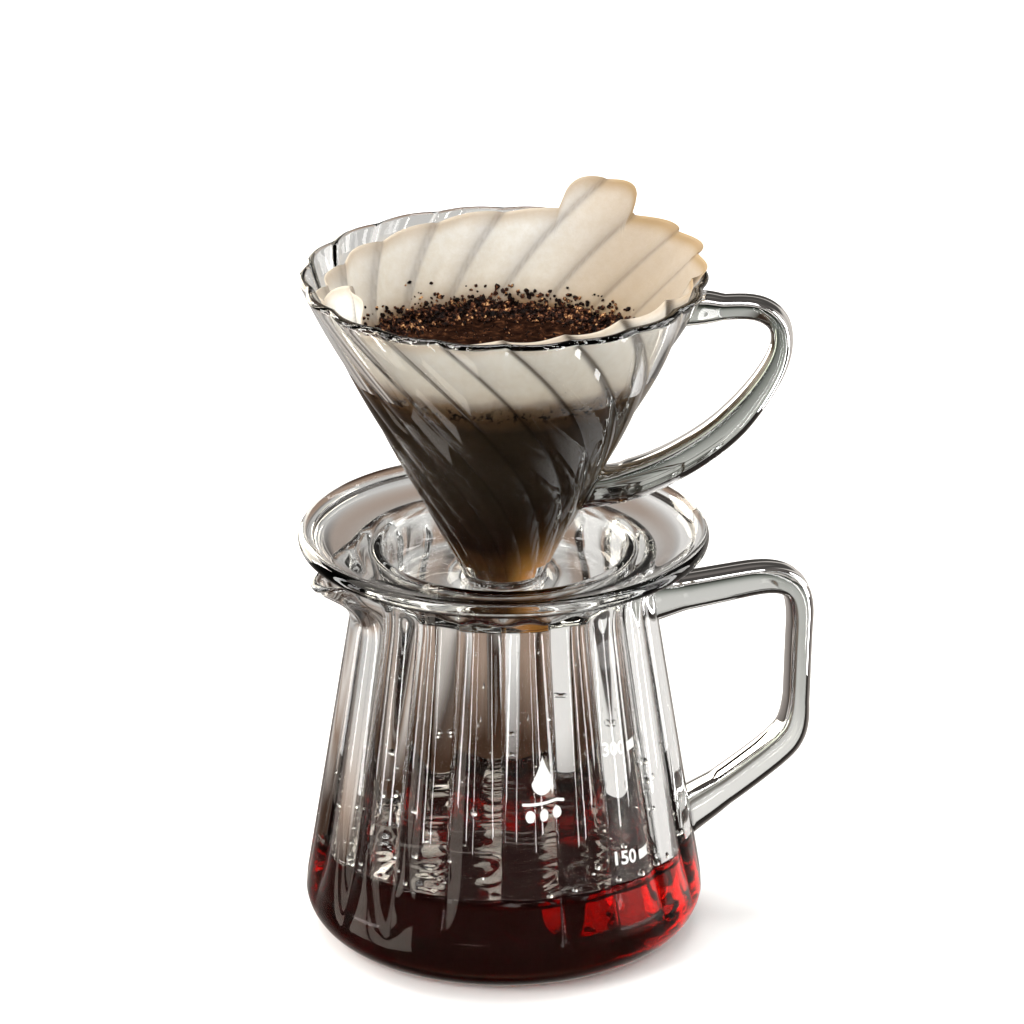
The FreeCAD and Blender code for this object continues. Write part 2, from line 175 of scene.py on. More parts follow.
def round_ring(radius, angle, z):
    """Ring of points from radii, angles in radians and heights."""
    radius, z = np.broadcast_to(radius, angle.shape), np.broadcast_to(z, angle.shape)
    return np.stack([radius * np.cos(angle), radius * np.sin(angle), z], 1)


def axis_point(z):
    """Ring of one point on the axis."""
    return np.array([[0.0, 0.0, z]])


def directions(count, phase=0.0):
    """count directions in radians round the axis, the first one at a phase in degrees."""
    return math.radians(phase) + np.arange(count) * FULL_TURN / count


# ---- material helpers --------------------------------
class Shading:
    """Node tree of a material or world. Its methods add nodes and return their outputs."""

    def __init__(self, owner):
        owner.use_nodes = True
        self.nodes = owner.node_tree.nodes
        self.links = owner.node_tree.links

    def fill(self, node, inputs):
        """Give inputs of a node, by name or number, a number, a colour or an output to link."""
        for name, value in inputs.items():
            socket = node.inputs[name]
            if isinstance(value, bpy.types.NodeSocket):
                self.links.new(value, socket)
            else:
                socket.default_value = (*value, 1.0) if socket.type == "RGBA" else value
        return node.outputs

    def add(self, kind, inputs):
        return self.fill(self.nodes.new(kind), inputs)

    def place(self, space="Object"):
        """The point in object space or, for a world, its direction with space="Generated"."""
        return self.nodes.new("ShaderNodeTexCoord").outputs[space]

    def axes(self, space="Object"):
        return self.add("ShaderNodeSeparateXYZ", {"Vector": self.place(space)})

    def attribute(self, name):
        node = self.nodes.new("ShaderNodeAttribute")
        node.attribute_name = name
        return node.outputs

    def noise(self, scale, detail=3.0, roughness=0.5, distortion=0.0):
        return self.add("ShaderNodeTexNoise", {
            "Vector": self.place(), "Scale": scale, "Detail": detail, "Roughness": roughness,
            "Distortion": distortion})["Fac"]

    def bump(self, height, strength, distance, below=None):
        """Normal from a height, stacked on another normal if one is given."""
        inputs = {"Height": height, "Strength": strength, "Distance": distance}
        if below is not None:
            inputs["Normal"] = below
        return self.add("ShaderNodeBump", inputs)["Normal"]

    def ramp(self, factor, stops):
        """Colour ramp with (position, colour) stops; one number as the colour is a grey."""
        node = self.nodes.new("ShaderNodeValToRGB")
        elements = node.color_ramp.elements
        while len(elements) < len(stops):
            elements.new(0.5)
        for element, (position, colour) in zip(elements, stops):
            element.position = position
            element.color = (*np.broadcast_to(colour, 3), 1.0)
        return self.fill(node, {"Fac": factor})["Color"]

    def mix(self, factor, first, second, blend="MIX"):
        node = self.nodes.new("ShaderNodeMix")
        node.data_type = "RGBA"
        node.blend_type = blend
        return self.fill(node, {"Factor": factor, "A": first, "B": second})["Result"]

    def mix_shaders(self, factor, first, second):
        return self.add("ShaderNodeMixShader", {"Fac": factor, 1: first, 2: second})["Shader"]

    def math(self, operation, *values):
        node = self.nodes.new("ShaderNodeMath")
        node.operation = operation
        return self.fill(node, dict(enumerate(values)))["Value"]

    def vector_math(self, operation, *vectors):
        node = self.nodes.new("ShaderNodeVectorMath")
        node.operation = operation
        return self.fill(node, dict(enumerate(vectors)))["Value"]

    def passed(self, value, low, high):
        """How far a value has come from low to high, 0 to 1."""
        inputs = {"Value": value, "From Min": low, "From Max": high}
        return self.add("ShaderNodeMapRange", inputs)["Result"]

    def absorb(self, colour, density):
        """Fill the material's inside with something that takes up light."""
        volume = self.add("ShaderNodeVolumeAbsorption", {"Color": colour, "Density": density})["Volume"]
        self.fill(self.nodes["Material Output"], {"Volume": volume})


def new_material(name):
    """(material, its node tree, its Principled shader)."""
    material = bpy.data.materials.new(name)
    tree = Shading(material)
    return material, tree, tree.nodes["Principled BSDF"]


# ---- materials ---------------------------------------
def glass_material(name):
    """Clear pressed glass with faint waves, greyer where the way through it is long."""
    material, tree, shader = new_material(name)
    waves = tree.noise(55.0, detail=1.0)
    tree.fill(shader, {
        "Base Color": (0.985, 0.99, 0.985), "Transmission Weight": 1.0, "Roughness": 0.0, "IOR": 1.49,
        "Normal": tree.bump(waves, 0.08, 0.0006)})
    tree.absorb((0.62, 0.64, 0.62), 10.0)
    return material


def coffee_material():
    """Clear red-brown coffee that goes black with depth; ripples and a darker tint show on its top only.
    """
    material, tree, shader = new_material("brewed_coffee")
    tree.absorb((0.94, 0.68, 0.28), 400.0)
    on_top = tree.passed(tree.axes()["Z"], (COFFEE_LEVEL - 1.6) * MM, (COFFEE_LEVEL - 0.8) * MM)
    ripples = tree.math("MULTIPLY", tree.noise(48.0, detail=1.0, distortion=3.2), on_top)
    tree.fill(shader, {
        "Base Color": tree.ramp(on_top, [(0.0, (1.0, 0.78, 0.7)), (1.0, (0.5, 0.38, 0.34))]),
        "Transmission Weight": 0.985, "Roughness": 0.0, "IOR": 1.34,
        "Normal": tree.bump(ripples, 0.42, 0.003)})
    return material


def enamel_material():
    """White print, slightly uneven."""
    material, tree, shader = new_material("enamel_print")
    speckle = tree.noise(2500.0, detail=2.0)
    tree.fill(shader, {
        "Base Color": tree.ramp(speckle, [(0.3, (0.6, 0.6, 0.58)), (0.7, (0.76, 0.76, 0.74))]),
        "Roughness": 0.45, "Normal": tree.bump(speckle, 0.2, 0.00005)})
    return material


def soaked_and_backlit_colour(tree):
    """The paper's colour by height: nearly black where it is wet, tan above, cream where dry. Its amber
    near the tip is partly the brew's stain and partly painted light shining through. Cloudy blotches
    blur its borders by up to 4 mm."""
    low, high = 0.088, 0.178
    blotches = tree.noise(140.0, detail=6.0, roughness=0.68, distortion=0.6)
    shifted = tree.math("MULTIPLY_ADD", blotches, 0.004, tree.axes()["Z"])
    share = tree.math("DIVIDE", tree.math("SUBTRACT", shifted, low + 0.002), high - low)
    heights = [
        (89, (0.42, 0.2, 0.06)), (95, (0.2, 0.085, 0.025)), (103, (0.04, 0.016, 0.008)),
        (120, (0.064, 0.042, 0.025)), (BREW_LEVEL - 5, (0.072, 0.044, 0.024)),
        (BREW_LEVEL - 1, (0.17, 0.09, 0.042)), (BREW_LEVEL + 2, (0.42, 0.27, 0.15)),
        (BREW_LEVEL + 5, (0.7, 0.64, 0.55)), (BREW_LEVEL + 8, (0.78, 0.75, 0.69)),
        (DRIPPER_RIM_Z - 4, (0.83, 0.825, 0.8)),
    ]
    return tree.ramp(share, [((z * MM - low) / (high - low), tone) for z, tone in heights])


def paper_material():
    """Unbleached filter paper, stained by the brew, with the marks that mark_paper() puts on it, among
    them painted crease shade and painted light.
    """
    material, tree, shader = new_material("filter_paper")
    mottle = tree.ramp(tree.noise(420.0, detail=6.0, roughness=0.75), [(0.4, 0.0), (0.62, 0.45)])
    colour = tree.mix(mottle, soaked_and_backlit_colour(tree), (0.86, 0.81, 0.73), "MULTIPLY")
    flecks = tree.ramp(tree.noise(560.0, detail=5.0, roughness=0.7), [(0.53, 0.0), (0.58, 1.0)])
    flecks = tree.math("MULTIPLY", flecks, tree.attribute("tide")["Fac"])
    colour = tree.mix(flecks, colour, (0.028, 0.013, 0.008))
    colour = tree.mix(tree.attribute("tan")["Fac"], colour, (0.52, 0.38, 0.22))
    # Painted light: a bright amber spot near the tip, as if lit through from behind.
    colour = tree.mix(tree.attribute("backlit_spot")["Fac"], colour, (0.85, 0.45, 0.12))
    # Painted shade: the paper is darkened along its creases.
    colour = tree.mix(tree.attribute("crease_shade")["Fac"], colour, (0.13, 0.09, 0.06), "MULTIPLY")
    fibres = tree.bump(tree.noise(1800.0, detail=4.0, roughness=0.7), 0.5, 0.0002)
    # The glow attribute is painted light, given as emission.
    tree.fill(shader, {
        "Base Color": colour, "Roughness": 0.7, "Specular IOR Level": 0.15,
        "Emission Color": tree.attribute("glow")["Color"], "Emission Strength": 1.0,
        "Normal": tree.bump(tree.noise(500.0, detail=2.0), 0.3, 0.0003, fibres)})
    through = tree.add("ShaderNodeBsdfTranslucent", {"Color": colour})["BSDF"]
    surface = tree.mix_shaders(0.42, shader.outputs["BSDF"], through)
    tree.fill(tree.nodes["Material Output"], {"Surface": surface})
    return material


def grounds_material():
    """Wet ground coffee: dark grains with a few tan ones."""
    material, tree, shader = new_material("wet_grounds")
    grain = tree.noise(620.0, detail=4.0, roughness=0.7)
    tones = [(0.44, (0.004, 0.002, 0.0015)), (0.53, (0.02, 0.007, 0.004)), (0.6, (0.14, 0.05, 0.025)),
             (0.67, (0.72, 0.42, 0.19))]
    tree.fill(shader, {
        "Base Color": tree.ramp(grain, tones), "Specular IOR Level": 0.06,
        "Roughness": tree.ramp(grain, [(0.3, 0.25), (0.7, 0.6)]),
        "Normal": tree.bump(grain, 0.8, 0.0006)})
    return material


def brew_material():
    """Dark wet slurry surface with fine floating dust."""
    material, tree, shader = new_material("brew")
    dust = tree.noise(420.0, detail=6.0, roughness=0.7, distortion=0.6)
    tones = [(0.4, (0.007, 0.003, 0.002)), (0.55, (0.022, 0.009, 0.005)),
             (0.66, (0.075, 0.03, 0.014)), (0.74, (0.3, 0.15, 0.07))]
    tree.fill(shader, {
        "Base Color": tree.ramp(dust, tones), "Specular IOR Level": 0.0,
        "Roughness": tree.ramp(dust, [(0.45, 0.2), (0.65, 0.6)]),
        "Normal": tree.bump(dust, 0.6, 0.0008)})
    return material


# ---- server ------------------------------------------
def flute_lobe(share):
    """0 at a crease and 1 at the top of a lobe, for a share of the way across a flute."""
    return np.sin(math.pi * (share % 1.0))


def creases(around, flutes):
    """How deep in a crease each point of a fluted ring lies, 0 to 1."""
    return 1 - flute_lobe(np.arange(around) * flutes / around)


def server_fade(z):
    """How strongly the flutes show at a height."""
    return smooth(z, 6.0, 27.0) * (1 - smooth(z, SERVER_RIM_Z - 5.5, SERVER_RIM_Z - 1))


def inner_flute_depth(z):
    """Depth of the flutes on the inside of the server's wall."""
    return SERVER_FLUTE_DEPTH * INNER_FLUTE_SHARE * server_fade(z - SERVER_FLOOR)


def server_ring(r, z, depth, around):
    """One ring of the server's skin, with flutes and the pouring lip."""
    angle = directions(around, SERVER_FLUTE_PHASE)
    away = angle % FULL_TURN - math.pi
    lip = np.exp(-((away / SPOUT_SPREAD) ** 2)) * smooth(z, SPOUT_START_Z, SERVER_RIM_Z) ** 1.3
    radius = r - depth * creases(around, SERVER_FLUTES) + SPOUT_REACH * lip
    return round_ring(radius, angle, z - SPOUT_DROP * lip)


def server_radius(z, angle, inside=False):
    """Radius of the server's outer or inner wall at a height and a direction in radians."""
    share = (angle - math.radians(SERVER_FLUTE_PHASE)) * SERVER_FLUTES / FULL_TURN
    depth = inner_flute_depth(z) if inside else SERVER_FLUTE_DEPTH * server_fade(z)
    shoulder = SERVER_RADIUS - (SERVER_WALL if inside else 0.0)
    return shoulder + SERVER_LEAN * (z - SERVER_CORNER) - depth * (1 - flute_lobe(share))


def make_server(material):
    """Blown glass body, as one profile up the outside, over the rim and down the inside."""
    def side(wall, floor):
        """Points up one side of the wall, from the round corner at the foot to below the rim."""
        corner = SERVER_CORNER - wall
        shoulder = (SERVER_RADIUS - wall, floor + corner)
        neck = (SERVER_NECK_RADIUS - wall, SERVER_NECK_Z)
        points = arc_points(SERVER_RADIUS - SERVER_CORNER, floor + corner, corner, -90, 0, 9)
        points += line_points(shoulder, neck, 11)
        points += [neck, (neck[0] + 0.1, SERVER_NECK_Z + 4)]
        return points + [(SERVER_RIM_RADIUS - wall - 0.2, SERVER_RIM_Z - 3)]

    half = SERVER_WALL / 2
    outer = [(r, 0.0) for r in (0.0, 10.0, 25.0, 33.0, 35.5)] + side(0.0, 0.0)
    rim = arc_points(SERVER_RIM_RADIUS - half, SERVER_RIM_Z - half, half, 0, 180, 9)
    inner = side(SERVER_WALL, SERVER_FLOOR)[::-1] + [(r, SERVER_FLOOR) for r in (33.0, 20.0, 0.0)]
    stations = [(r, z, SERVER_FLUTE_DEPTH * server_fade(z)) for r, z in outer]
    stations += [(r, z, 0.0) for r, z in rim]
    stations += [(r, z, inner_flute_depth(z)) for r, z in inner]
    around = SERVER_FLUTES * 20
    rings = [server_ring(r, z, d, around) for r, z, d in spline(stations, 230)[1:-1]]
    server = skin("server_glass_body", [axis_point(0.0), *rings, axis_point(SERVER_FLOOR)], material)
    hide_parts("server_body")
    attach(server, "server")


def bar_section(thickness, width):
    """Outline of a pressed bar: a flat inner face and three soft ridges on the outer one."""
    turn = directions(48)
    across = np.sign(np.cos(turn)) * np.abs(np.cos(turn)) ** 0.7
    along = np.sign(np.sin(turn)) * np.abs(np.sin(turn)) ** 0.7
    across = across + np.where(across > 0, HANDLE_RIDGE * np.cos(3 * math.pi * along), 0)
    return across * thickness / 2, along * width / 2


def make_bar(name, controls, sizes, direction, wall_lean, material):
    """Handle swept along a smooth path of (r, z) controls. sizes are (share, thickness, width),
    share being of the path's length. The ends turn to lie along the wall, which leans wall_lean
    out for each unit up."""
    count = 160
    path = spline(controls, count)
    tangent = np.gradient(path, axis=0)
    tangent /= np.linalg.norm(tangent, axis=1)[:, None]
    normal = np.stack([-tangent[:, 1], tangent[:, 0]], 1)
    length = np.concatenate([[0], np.cumsum(np.linalg.norm(np.diff(path, axis=0), axis=1))])
    share = length / length[-1]
    at_wall = (1 - smooth(share, 0.0, 0.1) + smooth(share, 0.86, 1.0))[:, None]
    wall = np.array([wall_lean, 1.0]) / math.hypot(wall_lean, 1.0)
    wall_way = np.where(normal @ wall > 0, 1.0, -1.0)[:, None] * wall
    normal = normal * (1 - at_wall) + wall_way * at_wall
    normal /= np.linalg.norm(normal, axis=1)[:, None]
    shares, thicknesses, widths = zip(*sizes)
    turn = math.radians(direction)
    rings = []
    for i in range(count):
        thickness = np.interp(share[i], shares, thicknesses)
        out, side = bar_section(thickness, np.interp(share[i], shares, widths))
        r, z = path[i][:, None] + np.outer(normal[i], out)
        rings.append(np.stack([r * math.cos(turn) - side * math.sin(turn),
                               r * math.sin(turn) + side * math.cos(turn), z], 1))
    return skin(name, [rings[0].mean(0)[None], *rings, rings[-1].mean(0)[None]], material)


def make_server_handle(material):
    """Strap handle, thinner at the grip than at its two pads."""
    controls = [
        (35.4, 81.0), (40, 81.3), (50, 82.2), (59, 83.2), (66.4, 83.8), (72.6, 81.8), (74.4, 75.4),
        (74, 68), (73.8, 60), (73.6, 52), (73.3, 45), (71.2, 40.4), (65, 35.8), (58, 31.0),
        (51, 26.6), (45.2, 23.4),
    ]
    sizes = [
        (0.0, 10.8, 13.5), (0.03, 9.8, 12.8), (0.08, 8.0, 11.4), (0.2, 7.4, 11.0),
        (0.34, 6.6, 10.4), (0.44, 5.6, 9.8), (0.62, 5.6, 9.8), (0.72, 7.2, 10.8),
        (0.9, 7.6, 11.0), (0.97, 9.4, 12.4), (1.0, 10.2, 13.2),
    ]
    handle = make_bar("server_glass_handle", controls, sizes, 0.0, SERVER_LEAN, material)
    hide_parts("server_handle")
    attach(handle, "server")


def make_coffee(material):
    """Coffee in the server, let a little way into the glass so that no air shows between them."""
    around = SERVER_FLUTES * 12
    angle = directions(around, SERVER_FLUTE_PHASE)
    corner_r = SERVER_RADIUS - SERVER_CORNER
    inner_round = SERVER_CORNER - SERVER_WALL
    rings = [axis_point(SERVER_FLOOR - SUNK)]
    for share in np.linspace(0.05, 0.98, 16):
        rings.append(round_ring(share * corner_r, angle, SERVER_FLOOR - SUNK))
    ripple = creases(around, SERVER_FLUTES)
    for r, z in arc_points(corner_r, SERVER_FLOOR + inner_round, inner_round + SUNK, -90, 0, 12):
        rings.append(round_ring(r - inner_flute_depth(z) * ripple, angle, z))
    for z in np.linspace(SERVER_FLOOR + inner_round, COFFEE_LEVEL + 0.9, 14)[1:]:
        rings.append(round_ring(server_radius(z, angle, inside=True) + SUNK, angle, z))
    edge = server_radius(COFFEE_LEVEL, angle, inside=True)
    for inset, climb in ((0.3, 0.75), (0.7, 0.4), (1.3, 0.15), (2.2, 0.03), (4.0, 0.0)):
        rings.append(round_ring(edge - inset, angle, COFFEE_LEVEL + climb))
    for share in np.linspace(0.9, 0.015, 90):
        ring = round_ring(edge * share, angle, COFFEE_LEVEL)
        ring[:, 2] += [0.3 * noise.noise(Vector((x * 0.11, y * 0.11, 3.0))) for x, y, _ in ring]
        rings.append(ring)
    rings.append(axis_point(COFFEE_LEVEL))
    coffee = skin("coffee_in_server", rings, material)
    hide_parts("brewed_coffee")
    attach(coffee, "server")


def make_drops(material):
    """Small drops clinging to the inside of the server above the coffee."""
    count, rows, columns = 110, 8, 12
    turn = random.uniform(0, FULL_TURN, count)
    z = COFFEE_LEVEL + 1.5 + 34 * random.uniform(0, 1, count) ** 2.2
    size = random.uniform(0.25, 0.75, count)
    middle = round_ring(server_radius(z, turn, inside=True) + 0.1 - size * 0.2, turn, z)
    ball = np.concatenate([round_ring(math.sin(a), directions(columns), 1.35 * math.cos(a))
                           for a in np.linspace(0, math.pi, rows + 1)])
    points = (middle[:, None, :] + size[:, None, None] * ball[None]).reshape(-1, 3)
    faces = []
    for start in range(0, count * len(ball), len(ball)):
        for row in range(rows):
            low, high = start + row * columns, start + (row + 1) * columns
            for c in range(columns):
                following = (c + 1) % columns
                faces.append((low + c, high + c, high + following, low + following))
    drops = mesh_object("wall_drops", points, faces, material)
    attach(drops, "server")


# ---- dripper -----------------------------------------
def straight_radius(z):
    """Outer radius of the cone's straight part across the lobes."""
    return DRIPPER_RADIUS - DRIPPER_SLOPE * (DRIPPER_RIM_Z - z)


def dripper_radius(z):
    """Outer radius of the cone across the lobes, curving into the outlet below the neck."""
    run = DRIPPER_NECK_Z - OUTLET_Z
    t = np.clip((z - OUTLET_Z) / run, 0, 1)
    rise = 3 * t ** 2 - 2 * t ** 3
    curve = (1 - rise) * OUTLET_RADIUS + rise * straight_radius(DRIPPER_NECK_Z)
    curve += (t ** 3 - t ** 2) * run * DRIPPER_SLOPE
    return np.where(z >= DRIPPER_NECK_Z, straight_radius(z), curve)


def dripper_depth(z):
    """Depth of the cone's creases at a height."""
    share = (z - OUTLET_Z) / (DRIPPER_RIM_Z - OUTLET_Z)
    return DRIPPER_FLUTE_DEPTH * (0.25 + 0.75 * share) * smooth(z, OUTLET_Z + 6, OUTLET_Z + 20)


def flute_share(angle, z):
    """Share of the way across the spiral flute at a direction in radians and a height."""
    start = np.radians(DRIPPER_FLUTE_PHASE + TWIST_PER_MM * (DRIPPER_RIM_Z - z))
    return (angle - start) * DRIPPER_FLUTES / FULL_TURN % 1.0


def dripper_ring(r, z, depth, around):
    """One ring of the cone's skin; the flutes turn with depth below the rim."""
    angle = directions(around, DRIPPER_FLUTE_PHASE + TWIST_PER_MM * (DRIPPER_RIM_Z - z))
    return round_ring(r - depth * creases(around, DRIPPER_FLUTES), angle, z)


def make_cone(material):
    """Pressed glass cone, as one closed profile up the outside, over the rim and down the inside."""
    def station(z, wall):
        return float(dripper_radius(z)) - wall, z, float(dripper_depth(z))

    half = DRIPPER_WALL / 2
    heights = [*np.linspace(OUTLET_Z, DRIPPER_NECK_Z, 26), *np.linspace(DRIPPER_NECK_Z, 165.0, 90)[1:]]
    stations = [station(z, 0.0) for z in heights]
    lean = math.degrees(math.atan(DRIPPER_SLOPE))
    centre_z = DRIPPER_RIM_Z - half
    centre_r = station(centre_z, DRIPPER_ACROSS / 2)[0]
    top = station(DRIPPER_RIM_Z, 0.0)[2]
    stations += [(r, z, top) for r, z in arc_points(centre_r, centre_z, half, -lean, 180 - lean, 17)]
    for z in heights[::-1]:
        in_outlet = max(0.0, (DRIPPER_NECK_Z - z) / (DRIPPER_NECK_Z - OUTLET_Z))
        stations.append(station(z, DRIPPER_ACROSS + (DRIPPER_WALL - DRIPPER_ACROSS) * in_outlet))
    rings = [dripper_ring(r, z, depth, DRIPPER_FLUTES * 20) for r, z, depth in stations]
    cone = skin("dripper_glass_cone", rings, material, loop=True)
    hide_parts("dripper_cone")
    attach(cone, "dripper")


def make_flange(material):
    """Glass dish with a rounded edge and the well that centres in the mouth."""
    floor = FLANGE_SEAT_Z - WELL_DEPTH
    seat = FLANGE_SEAT_Z
    bead = 1.9
    bead_r = FLANGE_RADIUS - bead
    bead_z = seat + 4.1
    neck = OUTLET_RADIUS - 0.8
    profile = [
        (neck, floor + 1.4), (neck + 3, floor + 1.0), (16, floor + 0.5), (24, floor + 0.1),
        (28.6, floor), (WELL_RADIUS - 0.4, floor + 1.4), (WELL_RADIUS, floor + 4.5),
        (WELL_RADIUS, floor + 8.0), (WELL_RADIUS + 0.4, seat - 0.1), (33.0, seat), (37.0, seat),
        (40.0, seat + 0.5), (44.0, seat + 1.7),
    ]
    profile += arc_points(bead_r, bead_z, bead * 1.02, -110, 130, 15)
    profile += [
        (44.5, bead_z - 0.2), (41.0, seat + 2.9), (37.0, seat + 2.2), (32.5, seat + 2.2),
        (29.6, seat + 2.0), (28.8, seat + 0.4), (28.6, floor + 6), (28.2, floor + 3.6),
        (26.4, floor + 2.3), (22, floor + 2.3), (16, floor + 2.7), (neck + 4, floor + 3.4),
        (neck + 1.4, floor + 4.6), (neck, floor + 6.2), (neck, floor + 3.0), (neck, floor + 1.4),
    ]
    rings = [round_ring(r, directions(300), z) for r, z in spline(profile, 170)[:-1]]
    flange = skin("dripper_glass_flange", rings, material, loop=True)
    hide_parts("dripper_flange")
    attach(flange, "dripper")


def make_dripper_handle(material):
    """Ear handle, thin at the top and thick where it meets the cone again."""
    controls = [
        (44.6, 160.9), (50, 161.3), (55, 161.9), (61, 162.2), (66, 159.2), (66.8, 153.3), (64.8, 147),
        (60.3, 139.5), (54, 131.5), (46, 125), (38, 120), (30, 116.4), (24.5, 114.9), (21.0, 114.4),
    ]
    sizes = [
        (0.0, 8.5, 12.0), (0.03, 7.4, 11.0), (0.09, 4.9, 9.4), (0.24, 4.5, 9.0), (0.38, 6.2, 9.2),
        (0.55, 7.8, 9.8), (0.75, 8.4, 10.2), (0.93, 9.0, 11.0), (1.0, 11.0, 13.0),
    ]
    direction = DRIPPER_HANDLE_ANGLE
    handle = make_bar("dripper_glass_handle", controls, sizes, direction, DRIPPER_SLOPE, material)
    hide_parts("dripper_handle")
    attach(handle, "dripper")


# ---- paper and brew ----------------------------------
def paper_surface(angle, z, inset):
    """Radius of the paper at a direction and height: pleated where dry, laid on the glass below."""
    height = np.clip(z, OUTLET_Z, DRIPPER_RIM_Z)
    share = flute_share(angle, z)
    soft = 0.5 - 0.5 * np.cos(FULL_TURN * share)
    lobes = 0.75 * flute_lobe(share ** 0.6) + 0.25 * soft
    pleat = 2.0 * dripper_depth(height) * (1 - lobes)
    wet_pleat = dripper_depth(height) * (1 - flute_lobe(share)) - 0.4
    dry = smooth(z, BREW_LEVEL - 1.5, BREW_LEVEL + 3.5)
    wall = straight_radius(z) - DRIPPER_ACROSS - 0.3
    return wall - pleat * dry - wet_pleat * (1 - dry) - inset


def tab(angle, direction, height):
    """Rise of the paper's edge at one of its tabs."""
    away = (angle - math.radians(direction) + math.pi) % FULL_TURN - math.pi
    edge_radius = 46.0
    across = np.abs(away) * edge_radius / TAB_HALF_WIDTH
    return height * np.clip(1 - across ** 4, 0, 1) ** 0.45


def facing(turn, direction, low, high):
    """1 on the side of the axis that a direction in degrees gives, fading to 0 round it."""
    return smooth(np.cos(turn - math.radians(direction)), low, high)


def mark_paper(paper, rings, edge):
    """Store on the paper its painted crease shade, where it is tan, its painted backlit spot, its
    flecks, and the painted light it glows with.
    """
    points = np.concatenate(rings)
    z = points[:, 2]
    turn = np.arctan2(points[:, 1], points[:, 0])
    outside = np.arange(len(points)) < len(points) / 2

    # Painted shade: dark lines at the pleats' folds, with a soft painted shade beside them inside.
    across = flute_share(turn, z)
    off_fold = 0.5 - np.abs(across - 0.5)
    line = np.exp(-((off_fold / np.where(outside, 0.07, 0.045)) ** 2))
    shade = 0.5 * (1 - across) ** 2 * smooth(across, 0.0, 0.06) + 0.1 * smooth(across, 0.85, 1.0)
    crease_shade = np.where(outside, (0.3 + 0.6 * smooth(z, BREW_LEVEL - 8, BREW_LEVEL + 2)) * line,
                      0.45 * line + shade)

    # Tan edge and side; painted light through a spot near the tip; flecks follow the brew.
    far = [99.0]
    to_edge = np.concatenate([far, *(edge - ring[:, 2] for ring in rings[1:-1]), far])
    tan = 0.5 * (1 - smooth(to_edge, 0.3, 4.0)) + 0.6 * facing(turn, PAPER_BROWN_ANGLE, 0.45, 0.95)
    backlit_spot = 0.6 * np.exp(-(((z - 90) / 10) ** 2)) * facing(turn, PAPER_BACKLIT_SPOT_ANGLE, 0.4, 1.0)
    tide = np.exp(-(((z - BREW_LEVEL) / 1.9) ** 2))
    for mark, values in (("crease_shade", crease_shade), ("backlit_spot", backlit_spot), ("tan", tan), ("tide", tide)):
        paper.data.attributes.new(mark, "FLOAT", "POINT").data.foreach_set("value", values)

    # The glow is painted light coming through the paper: dry outside, left inside and backlit spot.
    dry = 0.48 * outside * smooth(z, BREW_LEVEL + 1, BREW_LEVEL + 6)
    lit = 0.24 * ~outside * facing(turn, PAPER_BROWN_ANGLE + 180, -0.2, 0.9)
    lit = lit * smooth(z, BREW_LEVEL + 3, BREW_LEVEL + 9)
    glow = np.ones((len(points), 4))
    glow[:, :3] = np.outer((dry + lit) * (1 - crease_shade), (0.66, 0.61, 0.52))
    glow[:, :3] += np.outer(backlit_spot, (0.9, 0.42, 0.09))
    paper.data.attributes.new("glow", "FLOAT_COLOR", "POINT").data.foreach_set("color", glow.ravel())


def make_paper(material):
    """Pleated filter paper of one thickness, with its two tabs, one of them curled inward."""
    angle = directions(DRIPPER_FLUTES * 30)
    tilt = PAPER_EDGE_TILT * np.cos(angle - math.radians(PAPER_EDGE_ANGLE))
    wobble = [noise.noise(Vector((math.cos(a) * 2.2, math.sin(a) * 2.2, 0.5))) for a in angle]
    edge = DRIPPER_RIM_Z + PAPER_EDGE_MEAN + tilt + 0.8 * np.array(wobble)
    edge = edge + tab(angle, *FRONT_TAB) + tab(angle, *BACK_TAB)
    curl = TAB_CURL * tab(angle, BACK_TAB[0], 1.0)

    def wall(share, inset):
        z = PAPER_TIP_Z + (edge - PAPER_TIP_Z) * share
        inward = curl * smooth(z, DRIPPER_RIM_Z - 7, DRIPPER_RIM_Z + 4)
        return round_ring(np.maximum(paper_surface(angle, z, inset) - inward, 0.6), angle, z)

    shares = np.linspace(0.01, 1, 110)
    rings = [axis_point(PAPER_TIP_Z)] + [wall(s, 0) for s in shares]
    rings += [wall(s, PAPER_THICKNESS) for s in shares[::-1]] + [axis_point(PAPER_TIP_Z + 0.4)]
    paper = skin("pleated_paper", rings, material)
    mark_paper(paper, rings, edge)
    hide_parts("paper_filter")
    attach(paper, "filter")


def make_slurry(material):
    """Water and coffee inside the paper, with a slightly rough surface."""
    angle = directions(DRIPPER_FLUTES * 16)
    inset = PAPER_THICKNESS + 0.05
    rings = [axis_point(BED_LEVEL + 0.3)]
    for z in np.linspace(BED_LEVEL + 0.3, BREW_LEVEL, 24):
        rings.append(round_ring(paper_surface(angle, z, inset), angle, z))
    edge = paper_surface(angle, BREW_LEVEL, inset)
    for share in np.linspace(0.985, 0.02, 70):
        ring = round_ring(edge * share, angle, BREW_LEVEL)
        rise = [noise.fractal(Vector((x * 0.16, y * 0.16, 1.0)), 1.0, 2.0, 4) for x, y, _ in ring]
        ring[:, 2] += 0.45 * np.array(rise)
        rings.append(ring)
    rings.append(axis_point(BREW_LEVEL))
    slurry = skin("brew_surface", rings, material)
    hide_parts("coffee_slurry")
    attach(slurry, "filter")


